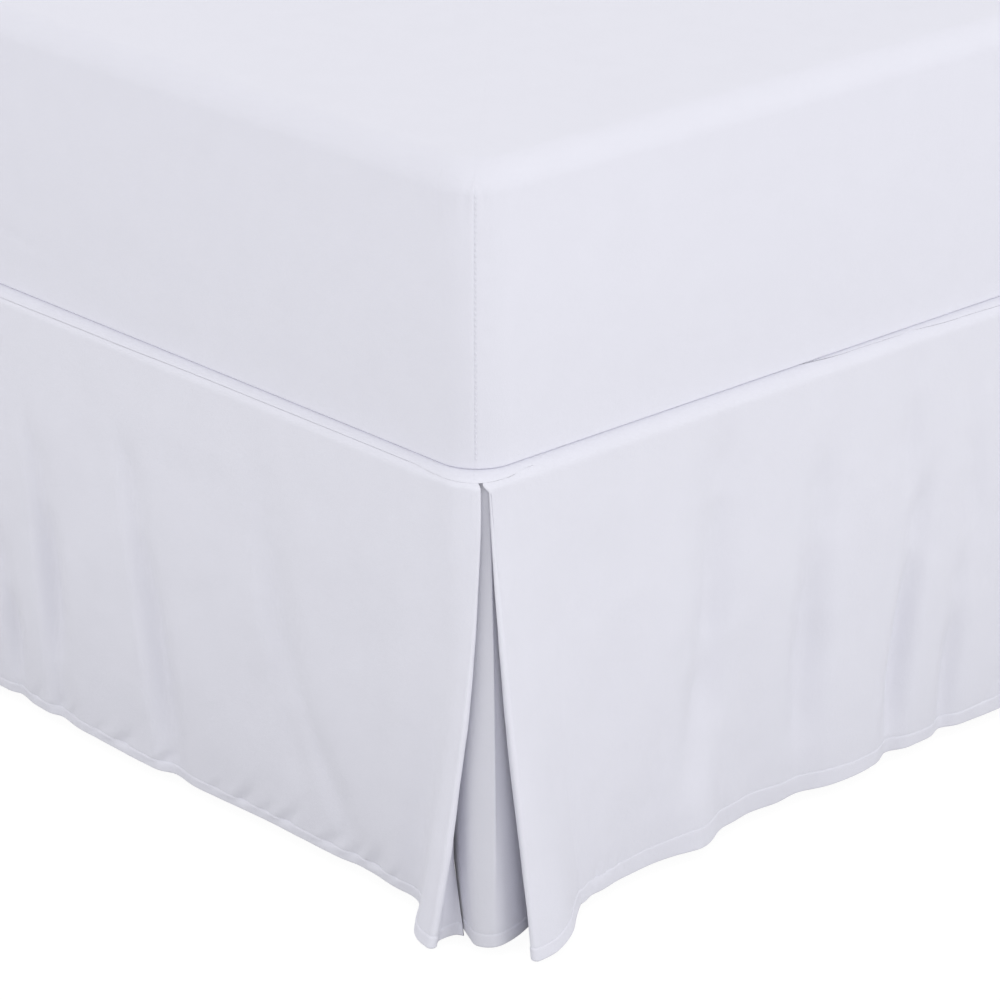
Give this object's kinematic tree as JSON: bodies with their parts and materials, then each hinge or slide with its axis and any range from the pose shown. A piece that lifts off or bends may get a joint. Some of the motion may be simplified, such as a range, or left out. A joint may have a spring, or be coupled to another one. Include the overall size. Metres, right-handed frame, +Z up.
{
  "type": "bed skirt on a bed",
  "caption": "White tailored bed skirt with inverted corner pleats and a turned-up hem, hung round a plain box spring under a mattress with a rounded fitted cover.",
  "frame": {"origin": "on the floor, at the middle of the whole object's plan", "axes": "+Z up; Y runs along the bed with the foot at -Y and the open head at +Y; X runs across the bed"},
  "size_m": [1.7141, 2.1126, 0.645],
  "materials": {
    "skirt_cloth": "plain white brushed microfibre, close weave, soft sheen",
    "mattress_cover": "plain white fitted sheet, close weave",
    "base_fabric": "plain pale woven cover",
    "leg_wood": "satin"
  },
  "bodies": {
    "root": {"deck": "skirt_cloth", "skirt_foot": "skirt_cloth", "skirt_right": "skirt_cloth", "skirt_left": "skirt_cloth", "pleat_right": "skirt_cloth", "pleat_left": "skirt_cloth", "mattress": "mattress_cover", "bed_base": "base_fabric", "leg_1": "leg_wood", "leg_2": "leg_wood", "leg_3": "leg_wood", "leg_4": "leg_wood", "leg_5": "leg_wood", "leg_6": "leg_wood"}
  },
  "joints": []
}
